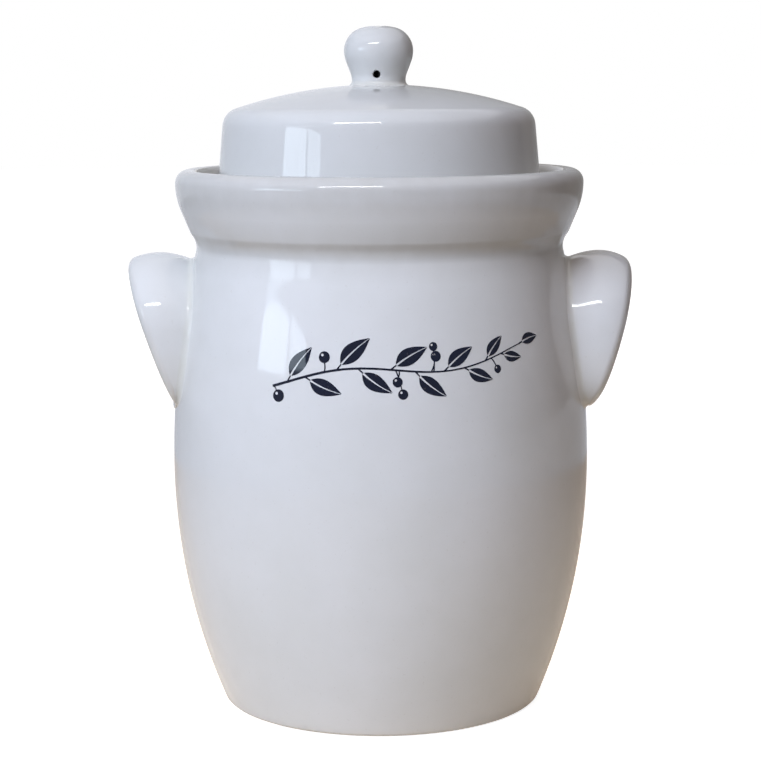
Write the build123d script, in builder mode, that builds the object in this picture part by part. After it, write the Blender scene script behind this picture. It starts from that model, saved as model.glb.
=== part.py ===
"""A rumtopf pot: a lidded stoneware crock with a water gutter round its mouth.

Frame: +Z is up, the foot stands on Z = 0 round the origin, +X runs out through the
right lug and -Y is the front. All sizes are millimetres.

The pot is a turned shell that swells to a belly and turns in again to a flat
shoulder. A collar rises from the shoulder round the mouth, and a flared ring is
luted on outside it, so that the two hold a gutter of water between them. The skirt of
the lid stands in that gutter and seals the pot. Two lugs are luted on under the
ring, each a thick shell whose hollow takes the fingers. The lid is a drafted cap
with a hollow knob, and two half round weights hold the fruit under the liquid.
"""

import os
from math import acos, asin, atan2, cos, degrees, hypot, radians, sin, sqrt, tan

from build123d import *

# Pot wall
belly_radius = 97.0
belly_height = 113.0
foot_inset = 22.7
foot_edge_radius = 3.0
foot_ring_width = 12.0
foot_recess_depth = 2.5
foot_recess_corner = 1.05
wall = 7.0
floor_height = 10.0
floor_corner = 13.0

# Neck, shoulder and collar
neck_inset = 12.0
neck_rise = 100.5
neck_groove_radius = 9.0
gutter_floor_rise = 5.5
gutter_floor_width = 14.0
gutter_corner = 2.5
shoulder_thickness = 8.0
shoulder_corner = 14.0
collar_wall = 6.0
collar_rise = 34.0
collar_lip_radius = 2.7
mouth_corner = 5.0

# Gutter ring
ring_seat_inset = 7.0
ring_floor_inset = 4.5
ring_floor_corner_radius = 2.0
ring_lip_overhang = 9.3
ring_lip_rise = 29.5
ring_flare_radius = 31.0
crest_outer_radius = 6.0
crest_inner_radius = 4.8

# Lugs
lug_drop = 3.0
lug_height = 72.0
lug_width = 71.0
lug_widest_share = 0.54
lug_foot_share = 0.82
lug_reach = 33.6
lug_toe_stand = 1.0
lug_edge_radius = 700.0
lug_wall = 7.0
lug_crown_wall = 8.0
lug_outer_lip = 4.0
lug_inner_lip = 2.5
lug_root_depth = 7.0
lug_overrun = 6.0
# Along the lug, from its root to past its tip: how far the crown sinks there as a share
# of the height of the lug, and how wide the lug is as a share of its greatest width.
lug_station_shares = (0.0, 0.237, 0.496, 0.733, 1.0)
lug_crown_drop_shares = (0.097, 0.037, 0.0, 0.02, 0.14)
lug_width_shares = (0.887, 0.93, 1.0, 0.935, 0.74)

# Lid
lid_seat_gap = 0.3
skirt_clearance = 3.9
lid_draft = 5.0
lid_rise = 68.5
lid_dome_radius = 210.0
lid_wall = 6.0
lid_shoulder_round = 9.0
lid_inner_round = 4.0
skirt_edge_round = 1.5
gas_notch_radius = 5.0

# Knob
knob_radius = 15.9
knob_rise = 15.3
knob_side_radius = 10.8
knob_under_radius = 14.0
knob_side_angle = 77.0
knob_flare_angle = 20.8
knob_neck_radius = 12.4
knob_waist_radius = 8.0
knob_root_radius = 2.2
knob_root_angle = 75.0
knob_cavity_radius = 8.2
knob_bore_radius = 6.5
vent_radius = 1.8
vent_rise = 4.6
vent_bearing = -4.5

# Weights
weight_clearance = 3.5
weight_seat_gap = 0.3
weight_thickness = 18.0
weight_gap = 1.0
weight_edge_round = 3.0
weight_corner = 4.0
weight_notch_radius = 14.0

# Cuts run this far past the piece that they cut.
overrun = 5.0

# Heights and radii that follow from the sizes above
foot_radius = belly_radius - foot_inset
neck_radius = belly_radius - neck_inset
neck_height = belly_height + neck_rise
gutter_floor_height = neck_height + gutter_floor_rise
ring_seat_radius = neck_radius - ring_seat_inset
ring_floor_radius = neck_radius - ring_floor_inset
collar_radius = ring_floor_radius - gutter_floor_width
collar_height = gutter_floor_height + collar_rise
mouth_radius = collar_radius - collar_wall
ring_lip_radius = neck_radius + ring_lip_overhang
ring_lip_height = neck_height + ring_lip_rise
lid_crown_height = gutter_floor_height + lid_rise
skirt_radius = ring_floor_radius - skirt_clearance
lid_shoulder_radius = skirt_radius - lid_draft
knob_height = lid_crown_height + knob_rise
vent_height = lid_crown_height + vent_rise


def on_circle(centre, radius, angle):
    """The point at that angle, in degrees, on a circle of a profile."""
    return (
        centre[0] + radius * cos(radians(angle)),
        centre[1] + radius * sin(radians(angle)),
    )


def near(sketch, *points):
    """The vertices of a profile that lie nearest to the given points."""
    vertices = sketch.vertices()
    return [vertices.sort_by_distance(point)[0] for point in points]


def tangent_from(point, centre, radius):
    """The angle on a circle where a line from point, below and inside it, touches."""
    across, up = centre[0] - point[0], centre[1] - point[1]
    line = degrees(atan2(up, across) + asin(radius / hypot(across, up)))
    return line + 90


# The wall is one arc from the foot to the belly and one from there to the neck,
# both upright at the belly. The upper arc is tangent to the groove under the ring.
lower_arc = (foot_inset**2 + belly_height**2) / (2 * foot_inset)
lower_angle = degrees(asin(belly_height / lower_arc))
lower_centre = (belly_radius - lower_arc, belly_height)

groove_inset = belly_radius - neck_radius - neck_groove_radius
upper_arc = (groove_inset**2 + neck_rise**2 - neck_groove_radius**2) / (
    2 * (groove_inset + neck_groove_radius)
)
upper_angle = degrees(asin(neck_rise / (upper_arc + neck_groove_radius)))
upper_centre = (belly_radius - upper_arc, belly_height)
groove_centre = (neck_radius + neck_groove_radius, neck_height)


def wall_radius(height):
    """The outer radius of the pot at a height above the belly."""
    return upper_centre[0] + sqrt(upper_arc**2 - (height - belly_height) ** 2)


# The dome of the lid is part of a sphere.
dome_centre_height = lid_crown_height - lid_dome_radius


# Pot body: turned shell, foot, flat shoulder and collar in one piece
cavity_top = gutter_floor_height - shoulder_thickness
inner_floor_radius = (
    lower_centre[0]
    + sqrt((lower_arc - wall) ** 2 - (belly_height - floor_height) ** 2)
)
inner_top_radius = (
    upper_centre[0] + sqrt((upper_arc - wall) ** 2 - (cavity_top - belly_height) ** 2)
)
inner_floor_angle = degrees(asin((belly_height - floor_height) / (lower_arc - wall)))
inner_top_angle = degrees(asin((cavity_top - belly_height) / (upper_arc - wall)))
foot_ring_inner = foot_radius - foot_ring_width

with BuildPart() as pot_body:
    with BuildSketch(Plane.XZ) as pot_profile:
        with BuildLine():
            lower_wall = CenterArc(lower_centre, lower_arc, -lower_angle, lower_angle)
            upper_wall = CenterArc(upper_centre, upper_arc, 0, upper_angle)
            groove = CenterArc(
                groove_centre, neck_groove_radius, 180 + upper_angle, -upper_angle
            )
            inner_upper = CenterArc(upper_centre, upper_arc - wall, 0, inner_top_angle)
            inner_lower = CenterArc(
                lower_centre, lower_arc - wall, -inner_floor_angle, inner_floor_angle
            )
            Polyline(
                groove @ 1,
                (ring_seat_radius, neck_height),
                (ring_seat_radius, gutter_floor_height),
                (collar_radius, gutter_floor_height),
                (collar_radius, collar_height),
                (mouth_radius, collar_height),
                (mouth_radius, cavity_top),
                inner_upper @ 1,
            )
            Polyline(
                inner_lower @ 0,
                (0, floor_height),
                (0, foot_recess_depth),
                (foot_ring_inner, foot_recess_depth),
                (foot_ring_inner, 0),
                lower_wall @ 0,
            )
        make_face()
        fillet(
            near(
                pot_profile,
                (collar_radius, collar_height),
                (mouth_radius, collar_height),
            ),
            radius=collar_lip_radius,
        )
        fillet(near(pot_profile, (mouth_radius, cavity_top)), radius=mouth_corner)
        fillet(near(pot_profile, (inner_top_radius, cavity_top)), radius=shoulder_corner)
        fillet(near(pot_profile, (inner_floor_radius, floor_height)), radius=floor_corner)
        fillet(near(pot_profile, (collar_radius, gutter_floor_height)), radius=gutter_corner)
        fillet(near(pot_profile, (foot_radius, 0)), radius=foot_edge_radius)
        fillet(
            near(pot_profile, (foot_ring_inner, foot_recess_depth), (foot_ring_inner, 0)),
            radius=foot_recess_corner,
        )
    revolve(axis=Axis.Z)
pot_body.part.label = "pot_body"

# Gutter ring: flared outer wall of the gutter, seated in a rebate of the shoulder
lip_centre = (ring_lip_radius - ring_flare_radius, ring_lip_height)
centre_gap = (groove_centre[0] - lip_centre[0], lip_centre[1] - groove_centre[1])
flare_angle = degrees(
    atan2(centre_gap[1], centre_gap[0])
    - acos((neck_groove_radius + ring_flare_radius) / hypot(*centre_gap))
)
crest_centre = (ring_lip_radius - crest_outer_radius, ring_lip_height)
crest_height = ring_lip_height + crest_outer_radius
crest_inner_centre = (crest_centre[0], crest_height - crest_inner_radius)
ring_floor_corner = (ring_floor_radius, gutter_floor_height)
inner_face_angle = tangent_from(ring_floor_corner, crest_inner_centre, crest_inner_radius)

with BuildPart() as gutter_ring:
    with BuildSketch(Plane.XZ) as ring_profile:
        with BuildLine():
            groove_top = CenterArc(groove_centre, neck_groove_radius, 180, -flare_angle)
            flare = CenterArc(lip_centre, ring_flare_radius, -flare_angle, flare_angle)
            Line(groove_top @ 1, flare @ 0)
            CenterArc(crest_centre, crest_outer_radius, 0, 90)
            crest_inner = CenterArc(
                crest_inner_centre, crest_inner_radius, 90, inner_face_angle - 90
            )
            Polyline(
                crest_inner @ 1,
                ring_floor_corner,
                (ring_seat_radius, gutter_floor_height),
                (ring_seat_radius, neck_height),
                groove_top @ 0,
            )
        make_face()
        fillet(near(ring_profile, ring_floor_corner), radius=ring_floor_corner_radius)
    revolve(axis=Axis.Z)
gutter_ring.part.label = "gutter_ring"


# Lugs: egg-shaped horns lofted outwards, hollowed, and cut back along their mouths
lug_top = neck_height - lug_drop
lug_bottom = lug_top - lug_height
lug_tip_radius = neck_radius + lug_reach
lug_root_radius = neck_radius - lug_root_depth
lug_toe_radius = wall_radius(lug_bottom) + lug_toe_stand
lug_length = lug_tip_radius + lug_overrun - lug_root_radius
lug_sections = list(zip(lug_station_shares, lug_crown_drop_shares, lug_width_shares))


def egg(drop, breadth, side_inset=0, end_inset=0):
    """Draw one closed section of a lug: a half ellipse on a squarer, rounded foot."""
    crown = lug_top - drop * lug_height - end_inset
    bottom = lug_bottom + end_inset
    widest = bottom + lug_widest_share * (crown - bottom)
    across = breadth * lug_width / 2 - side_inset
    turn_height = widest - lug_foot_share * (widest - bottom)
    turn_across = lug_foot_share * across
    with BuildLine() as outline:
        EllipticalCenterArc((0, widest), across, crown - widest, 0, arc_size=180)
        Bezier((-across, widest), (-across, turn_height), (-turn_across, bottom), (0, bottom))
        Bezier((0, bottom), (turn_across, bottom), (across, turn_height), (across, widest))
    return outline.wires()[0]


with BuildPart() as pot_core:
    with BuildSketch(Plane.XZ):
        with BuildLine():
            core_lower = CenterArc(lower_centre, lower_arc, -lower_angle, lower_angle)
            CenterArc(upper_centre, upper_arc, 0, upper_angle)
            core_groove = CenterArc(
                groove_centre, neck_groove_radius, 180 + upper_angle, -upper_angle
            )
            Polyline(core_groove @ 1, (0, neck_height), (0, 0), core_lower @ 0)
        make_face()
    revolve(axis=Axis.Z)

with BuildPart() as lug_hollow:
    for station, drop, breadth in lug_sections:
        with BuildSketch(Plane.YZ.offset(lug_root_radius + station * lug_length)):
            make_face(egg(drop, breadth, lug_wall, lug_crown_wall))
    loft()

with BuildPart() as right_lug:
    for station, drop, breadth in lug_sections:
        with BuildSketch(Plane.YZ.offset(lug_root_radius + station * lug_length)):
            make_face(egg(drop, breadth))
    loft()
    # The mouth runs from the tip down and in to the toe, bowed outwards.
    with BuildSketch(Plane.XZ):
        with BuildLine():
            edge = RadiusArc(
                (lug_toe_radius, lug_bottom), (lug_tip_radius, lug_top), -lug_edge_radius
            )
            Polyline(
                edge @ 1,
                (lug_tip_radius, lug_top + overrun),
                (lug_root_radius - overrun, lug_top + overrun),
                (lug_root_radius - overrun, lug_bottom - overrun),
                (lug_toe_radius, lug_bottom - overrun),
                edge @ 0,
            )
        make_face()
    extrude(amount=lug_width, both=True, mode=Mode.INTERSECT)
    add(lug_hollow.part, mode=Mode.SUBTRACT)
    lug_mouth = right_lug.faces().filter_by(GeomType.CYLINDER)[0]
    fillet(lug_mouth.outer_wire().edges(), radius=lug_outer_lip)
    lug_mouth = right_lug.faces().filter_by(GeomType.CYLINDER)[0]
    fillet(lug_mouth.inner_wires()[0].edges(), radius=lug_inner_lip)
    add(pot_core.part, mode=Mode.SUBTRACT)
right_lug.part.label = "right_lug"

with BuildPart() as left_lug:
    add(right_lug.part.mirror(Plane.YZ))
left_lug.part.label = "left_lug"


# Lid: drafted cap whose skirt stands in the gutter, with two notches for the gas
skirt_height = gutter_floor_height + lid_seat_gap
skirt_inner_radius = skirt_radius - lid_wall
shoulder_inner_radius = lid_shoulder_radius - lid_wall
inner_dome = lid_dome_radius - lid_wall


def dome_angle(radius, sphere):
    """The angle above the horizon, in degrees, of the dome at that radius."""
    return degrees(acos(radius / sphere))


with BuildPart() as lid:
    with BuildSketch(Plane.XZ) as lid_profile:
        with BuildLine():
            outer_start = dome_angle(lid_shoulder_radius, lid_dome_radius)
            outer_dome = CenterArc(
                (0, dome_centre_height), lid_dome_radius, outer_start, 90 - outer_start
            )
            inner_start = dome_angle(shoulder_inner_radius, inner_dome)
            inner_arc = CenterArc(
                (0, dome_centre_height), inner_dome, inner_start, 90 - inner_start
            )
            Line(outer_dome @ 1, inner_arc @ 1)
            Polyline(
                inner_arc @ 0,
                (skirt_inner_radius, skirt_height),
                (skirt_radius, skirt_height),
                outer_dome @ 0,
            )
        make_face()
        fillet(near(lid_profile, outer_dome @ 0), radius=lid_shoulder_round)
        fillet(near(lid_profile, inner_arc @ 0), radius=lid_inner_round)
        fillet(
            near(
                lid_profile,
                (skirt_inner_radius, skirt_height),
                (skirt_radius, skirt_height),
            ),
            radius=skirt_edge_round,
        )
    revolve(axis=Axis.Z)
    # The notches go right through the skirt on the left and on the right.
    with BuildSketch(Plane.YZ):
        with Locations((0, skirt_height)):
            Circle(gas_notch_radius)
    extrude(amount=skirt_radius + overrun, both=True, mode=Mode.SUBTRACT)
lid.part.label = "lid"


# Knob: hollow turned bulb luted on the dome, with a vent through its neck
side_centre = (knob_radius - knob_side_radius, knob_height)
under_centre = (knob_radius - knob_under_radius, knob_height)
under_end = on_circle(under_centre, knob_under_radius, -knob_flare_angle)
waist_x = knob_neck_radius + knob_waist_radius
waist_top_radius = waist_x - knob_waist_radius * cos(radians(knob_flare_angle))
flare_drop = (under_end[0] - waist_top_radius) / tan(radians(knob_flare_angle))
waist_height = under_end[1] - flare_drop - knob_waist_radius * sin(radians(knob_flare_angle))
side_end = on_circle(side_centre, knob_side_radius, knob_side_angle)
knob_crown_radius = side_end[0] / cos(radians(knob_side_angle))
crown_centre_height = side_end[1] - knob_crown_radius * sin(radians(knob_side_angle))
knob_base = lid_crown_height - overrun

with BuildPart() as dome_core:
    with BuildSketch(Plane.XZ):
        with BuildLine():
            core_dome = CenterArc(
                (0, dome_centre_height), lid_dome_radius, outer_start, 90 - outer_start
            )
            Polyline(
                core_dome @ 1,
                (0, skirt_height),
                (lid_shoulder_radius, skirt_height),
                core_dome @ 0,
            )
        make_face()
    revolve(axis=Axis.Z)

with BuildPart() as lid_knob:
    with BuildSketch(Plane.XZ):
        with BuildLine():
            CenterArc(
                (0, crown_centre_height),
                knob_crown_radius,
                knob_side_angle,
                90 - knob_side_angle,
            )
            CenterArc(side_centre, knob_side_radius, 0, knob_side_angle)
            under = CenterArc(under_centre, knob_under_radius, -knob_flare_angle, knob_flare_angle)
            waist = CenterArc(
                (waist_x, waist_height),
                knob_waist_radius,
                180 - knob_flare_angle,
                knob_flare_angle,
            )
            Line(under @ 0, waist @ 0)
            root = CenterArc(
                (knob_neck_radius + knob_root_radius, waist_height),
                knob_root_radius,
                180,
                knob_root_angle,
            )
            Polyline(
                root @ 1,
                ((root @ 1).X, knob_base),
                (0, knob_base),
                (0, crown_centre_height + knob_crown_radius),
            )
        make_face()
    revolve(axis=Axis.Z)
    with BuildSketch(Plane.XZ):
        with BuildLine():
            bore_meeting = knob_height - sqrt(knob_cavity_radius**2 - knob_bore_radius**2)
            cavity_start = degrees(asin((bore_meeting - knob_height) / knob_cavity_radius))
            cavity = CenterArc(
                (0, knob_height), knob_cavity_radius, cavity_start, 90 - cavity_start
            )
            Polyline(
                cavity @ 1,
                (0, knob_base),
                (knob_bore_radius, knob_base),
                cavity @ 0,
            )
        make_face()
    revolve(axis=Axis.Z, mode=Mode.SUBTRACT)
    add(dome_core.part, mode=Mode.SUBTRACT)
    vent_plane = Plane(
        origin=(0, 0, vent_height),
        z_dir=(sin(radians(vent_bearing)), -cos(radians(vent_bearing)), 0),
    )
    with BuildSketch(vent_plane):
        Circle(vent_radius)
    extrude(amount=knob_radius + overrun, mode=Mode.SUBTRACT)
lid_knob.part.label = "lid_knob"


# Weights: two half discs with rounded edges that lie on the floor of the pot
weight_radius = mouth_radius - weight_clearance
weight_bottom = floor_height + weight_seat_gap

with BuildPart() as weight_front:
    with BuildSketch(Plane.XY.offset(weight_bottom)) as weight_profile:
        Circle(weight_radius)
        with Locations((0, weight_radius - weight_gap / 2)):
            Rectangle(2 * weight_radius, 2 * weight_radius, mode=Mode.SUBTRACT)
        with Locations((0, -weight_gap / 2)):
            Circle(weight_notch_radius, mode=Mode.SUBTRACT)
        fillet(weight_profile.vertices(), radius=weight_corner)
    extrude(amount=weight_thickness)
    weight_ends = weight_front.faces().filter_by(Axis.Z)
    fillet(weight_ends.edges(), radius=weight_edge_round)
weight_front.part.label = "weight_front"

with BuildPart() as weight_back:
    add(weight_front.part.mirror(Plane.XZ))
weight_back.part.label = "weight_back"


os.makedirs("parts", exist_ok=True)
for piece in (
    pot_body,
    gutter_ring,
    left_lug,
    right_lug,
    lid,
    lid_knob,
    weight_front,
    weight_back,
):
    export_step(piece.part, f"parts/{piece.part.label}.step")
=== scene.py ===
"""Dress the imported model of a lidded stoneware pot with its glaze, foot, ornament and light.

The frame is the part's own: metres, +Z up, the foot on Z = 0 round the origin, +X out
through the right lug and -Y to the front. Sizes that repeat the part's are in millimetres
and are multiplied by MM where they become points.
"""

from math import acos, asin, atan2, cos, degrees, hypot, pi, radians, sin, sqrt, tan

import bmesh
import bpy
from mathutils import Matrix, Vector
from mathutils.bvhtree import BVHTree


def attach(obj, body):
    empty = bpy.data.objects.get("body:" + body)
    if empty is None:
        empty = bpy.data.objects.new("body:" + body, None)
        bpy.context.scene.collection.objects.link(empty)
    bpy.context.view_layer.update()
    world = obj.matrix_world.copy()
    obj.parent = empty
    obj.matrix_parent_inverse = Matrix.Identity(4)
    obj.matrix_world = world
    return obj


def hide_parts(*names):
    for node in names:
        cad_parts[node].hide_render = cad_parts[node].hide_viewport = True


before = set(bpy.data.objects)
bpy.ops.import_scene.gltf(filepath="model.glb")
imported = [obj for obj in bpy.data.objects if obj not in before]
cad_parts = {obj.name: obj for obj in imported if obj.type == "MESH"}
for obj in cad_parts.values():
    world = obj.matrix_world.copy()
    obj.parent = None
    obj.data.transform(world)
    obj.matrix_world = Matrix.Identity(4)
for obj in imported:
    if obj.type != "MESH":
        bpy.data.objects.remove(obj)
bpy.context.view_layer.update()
MM = 0.001

# Sizes of the part, in millimetres and degrees
BELLY_RADIUS = 97.0
BELLY_HEIGHT = 113.0
FOOT_RADIUS = 74.3
FOOT_RECESS_RADIUS = 62.3
FOOT_RECESS_DEPTH = 2.5
WALL = 7.0
FLOOR_HEIGHT = 10.0
NECK_RADIUS = 85.0
NECK_HEIGHT = 213.5
GROOVE_RADIUS = 9.0
GUTTER_FLOOR = 219.0
SHOULDER_UNDERSIDE = 211.0
RING_SEAT = 78.0
COLLAR_OUTER = 66.5
MOUTH_RADIUS = 60.5
COLLAR_TOP = 253.0
LIP_RADIUS = 94.3
LIP_HEIGHT = 243.0
CREST_OUTER = 6.0
CREST_INNER = 4.8
RING_FLOOR_RADIUS = 80.5
SKIRT_RADIUS = 76.6
SKIRT_BOTTOM = 219.3
LID_SHOULDER = 71.6
LID_CROWN = 287.5
DOME_RADIUS = 210.0
LID_WALL = 6.0
KNOB_HEIGHT = 302.8

# The glazed flare, a little fuller than the part's, and its roll into the groove
FLARE_RADIUS = 34.0
FLARE_SLOPE = 22.5
ROLL_SLOPE = 33.0
ROLL_RADIUS = 9.0

SHARP_ANGLE = 38

# The wall's two arcs, and the groove under the ring that ends the upper one
FOOT_INSET = BELLY_RADIUS - FOOT_RADIUS
LOWER_ARC = (FOOT_INSET**2 + BELLY_HEIGHT**2) / (2 * FOOT_INSET)
LOWER_CENTRE = (BELLY_RADIUS - LOWER_ARC, BELLY_HEIGHT)
NECK_RISE = NECK_HEIGHT - BELLY_HEIGHT
GROOVE_INSET = BELLY_RADIUS - NECK_RADIUS - GROOVE_RADIUS
UPPER_ARC = (GROOVE_INSET**2 + NECK_RISE**2 - GROOVE_RADIUS**2) / (
    2 * (GROOVE_INSET + GROOVE_RADIUS)
)
UPPER_CENTRE = (BELLY_RADIUS - UPPER_ARC, BELLY_HEIGHT)
UPPER_ANGLE = degrees(asin(NECK_RISE / (UPPER_ARC + GROOVE_RADIUS)))
GROOVE_CENTRE = (NECK_RADIUS + GROOVE_RADIUS, NECK_HEIGHT)
DOME_CENTRE = LID_CROWN - DOME_RADIUS


def wall_radius(height, inset=0):
    """The pot's outer radius at a height, or its radius that far inside the wall."""
    centre, arc_radius = (
        (LOWER_CENTRE, LOWER_ARC) if height < BELLY_HEIGHT else (UPPER_CENTRE, UPPER_ARC)
    )
    return centre[0] + sqrt((arc_radius - inset) ** 2 - (height - centre[1]) ** 2)


def dome_height(radius, inset=0):
    """The height of the lid's dome at a radius, or of the sphere that far inside it."""
    return DOME_CENTRE + sqrt((DOME_RADIUS - inset) ** 2 - radius**2)


# Profiles
def arc(centre, radius, start, end, steps=12):
    """Points along an arc of a profile, from one angle in degrees to another."""
    angles = [radians(start + (end - start) * i / steps) for i in range(steps + 1)]
    return [(centre[0] + radius * cos(a), centre[1] + radius * sin(a)) for a in angles]


def rounded(points, fillets, steps=7):
    """Round the corners of a closed profile: fillets gives each corner's index and radius."""
    made, count = [Vector(p) for p in points], len(points)
    kept, dropped = [], set()
    rounds = {}
    for index, radius in fillets.items():
        corner = made[index]
        before = (made[index - 1] - corner).normalized()
        after = (made[(index + 1) % count] - corner).normalized()
        half = acos(max(-1, min(1, before.dot(after)))) / 2
        reach = radius / tan(half)
        middle = corner + (before + after).normalized() * radius / sin(half)
        first = corner + before * reach - middle
        turn = first.angle_signed(corner + after * reach - middle)
        rounds[index] = [
            middle + Matrix.Rotation(-turn * i / steps, 2) @ first for i in range(steps + 1)
        ]
        for way in (-1, 1):
            other = (index + way) % count
            while other not in fillets and (made[other] - corner).length < reach * 1.05:
                dropped.add(other)
                other = (other + way) % count
    for index, point in enumerate(made):
        if index in rounds:
            kept += rounds[index]
        elif index not in dropped:
            kept.append(point)
    return [(p[0], p[1]) for p in kept]


def spaced(points, longest):
    """Add points to a profile's long straight runs, so that bends shade well."""
    made = []
    for here, there in zip(points, points[1:]):
        made.append(here)
        pieces = int(hypot(there[0] - here[0], there[1] - here[1]) / longest)
        for i in range(1, pieces):
            share = i / pieces
            made.append(
                (here[0] + (there[0] - here[0]) * share, here[1] + (there[1] - here[1]) * share)
            )
    return made + [points[-1]]


# Meshes
def finish_mesh(bm, name, materials):
    """Turn a bmesh into a smoothly shaded object at the origin."""
    bmesh.ops.recalc_face_normals(bm, faces=bm.faces[:])
    for face in bm.faces:
        face.smooth = True
    mesh = bpy.data.meshes.new(name)
    bm.to_mesh(mesh)
    bm.free()
    mesh.set_sharp_from_angle(angle=radians(SHARP_ANGLE))
    piece = bpy.data.objects.new(name, mesh)
    bpy.context.scene.collection.objects.link(piece)
    for material in materials:
        mesh.materials.append(material)
    return piece


BEND_SMOOTHINGS = 3
SEAM_REACH = 9
BEND_RANGES = (("glaze_thin", 1, 60, 260), ("glaze_pool", -1, 25, 160))


def bend_attributes(piece, seam=None):
    """Store how sharply the surface bends outwards and inwards, for the glaze to read."""
    bm = bmesh.new()
    bm.from_mesh(piece.data)
    bm.normal_update()
    bends = []
    for vert in bm.verts:
        total = 0
        for edge in vert.link_edges:
            step = edge.other_vert(vert).co - vert.co
            total += -2 * step.dot(vert.normal) / max(step.length_squared, 1e-12)
        bends.append(total / max(len(vert.link_edges), 1))
    for _ in range(BEND_SMOOTHINGS):
        bends = [
            (bends[v.index] + sum(bends[e.other_vert(v).index] for e in v.link_edges))
            / (1 + len(v.link_edges))
            for v in bm.verts
        ]
    if seam:
        for vert in bm.verts:
            gap = hypot(hypot(vert.co.x, vert.co.y) / MM - seam[0], vert.co.z / MM - seam[1])
            bends[vert.index] *= min(1, gap / SEAM_REACH)
    bm.free()
    for name, sign, flat, full in BEND_RANGES:
        attribute = piece.data.attributes.new(name, "FLOAT", "POINT")
        values = [max(0, min(1, (sign * b - flat) / (full - flat))) for b in bends]
        attribute.data.foreach_set("value", values)


def soften(bm, edges, radius, segments):
    """Round some edges of a bmesh."""
    bmesh.ops.bevel(
        bm,
        geom=edges,
        offset=radius * MM,
        offset_type="OFFSET",
        segments=segments,
        profile=0.5,
        affect="EDGES",
        material=-1,
    )


def painted_shade_attribute(piece, tones):
    """Store how much painted shade darkens the glaze at each height, from (height, share) pairs."""
    values = []
    for vert in piece.data.vertices:
        height = vert.co.z / MM
        share = 0
        for (low, start), (high, end) in zip(tones, tones[1:]):
            if low <= height < high:
                step = (height - low) / (high - low)
                share = start + (end - start) * step * step * (3 - 2 * step)
        values.append(share)
    attribute = piece.data.attributes.new("glaze_band", "FLOAT", "POINT")
    attribute.data.foreach_set("value", values)


def turned(name, profile, materials, sides, seam=None):
    """Spin a closed profile, or one that starts and ends on the axis, into a piece.

    The glaze runs on over a seam, given by its radius and height, as if it weren't there.
    """
    bm = bmesh.new()
    verts = [bm.verts.new((r * MM, 0, z * MM)) for r, z in profile]
    pairs = list(zip(verts, verts[1:]))
    if profile[0][0] > 0:
        pairs.append((verts[-1], verts[0]))
    edges = [bm.edges.new(pair) for pair in pairs]
    bmesh.ops.spin(
        bm,
        geom=verts + edges,
        cent=(0, 0, 0),
        axis=(0, 0, 1),
        angle=2 * pi,
        steps=sides,
        use_merge=True,
    )
    bmesh.ops.remove_doubles(bm, verts=bm.verts[:], dist=1e-6)
    piece = finish_mesh(bm, name, materials)
    bend_attributes(piece, seam)
    return piece


# Materials
def shader_group(name, inputs, outputs):
    """Start a node group with named sockets, and return it with its ends."""
    group = bpy.data.node_groups.new(name, "ShaderNodeTree")
    for socket, kind, value in inputs:
        made = group.interface.new_socket(socket, in_out="INPUT", socket_type=kind)
        made.default_value = value
    for socket, kind in outputs:
        group.interface.new_socket(socket, in_out="OUTPUT", socket_type=kind)
    return group, group.nodes.new("NodeGroupInput"), group.nodes.new("NodeGroupOutput")


def noise_node(tree, vector, scale, detail=2.0, rough=0.5):
    """A noise texture on the given coordinates."""
    node = tree.nodes.new("ShaderNodeTexNoise")
    node.inputs["Scale"].default_value = scale
    node.inputs["Detail"].default_value = detail
    node.inputs["Roughness"].default_value = rough
    tree.links.new(vector, node.inputs["Vector"])
    return node.outputs["Fac"]


def ranged(tree, value, low, high, out_low=0.0, out_high=1.0):
    """Map a value from one range to another, clamped."""
    node = tree.nodes.new("ShaderNodeMapRange")
    node.inputs["From Min"].default_value = low
    node.inputs["From Max"].default_value = high
    node.inputs["To Min"].default_value = out_low
    node.inputs["To Max"].default_value = out_high
    tree.links.new(value, node.inputs["Value"])
    return node.outputs["Result"]


def math_node(tree, operation, first, second):
    """A math node on two sockets or numbers."""
    node = tree.nodes.new("ShaderNodeMath")
    node.operation = operation
    for socket, value in zip(node.inputs, (first, second)):
        if isinstance(value, (int, float)):
            socket.default_value = value
        else:
            tree.links.new(value, socket)
    return node.outputs[0]


def mixed(tree, share, first, second):
    """Mix two colours, each a socket or four numbers, by a share."""
    node = tree.nodes.new("ShaderNodeMix")
    node.data_type = "RGBA"
    tree.links.new(share, node.inputs["Factor"])
    for socket, value in (("A", first), ("B", second)):
        target = [i for i in node.inputs if i.name == socket and i.type == "RGBA"][0]
        if isinstance(value, tuple):
            target.default_value = value
        else:
            tree.links.new(value, target)
    return [o for o in node.outputs if o.type == "RGBA"][0]


# The glaze's patterns: their scales, in repeats to the metre, and their strengths
CLOUD_SCALE = 16
FLECK_SCALE = 900
UNEVEN_SCALE = 130
SMEAR_SCALE = 42
WAVE_SCALE = 22
PEEL_SCALE = 210
WAVE_HEIGHT = 0.16
PEEL_HEIGHT = 0.006
FLECK_AMOUNT = 0.12
FLECK_COLOUR = (0.42, 0.36, 0.28, 1)


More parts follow.
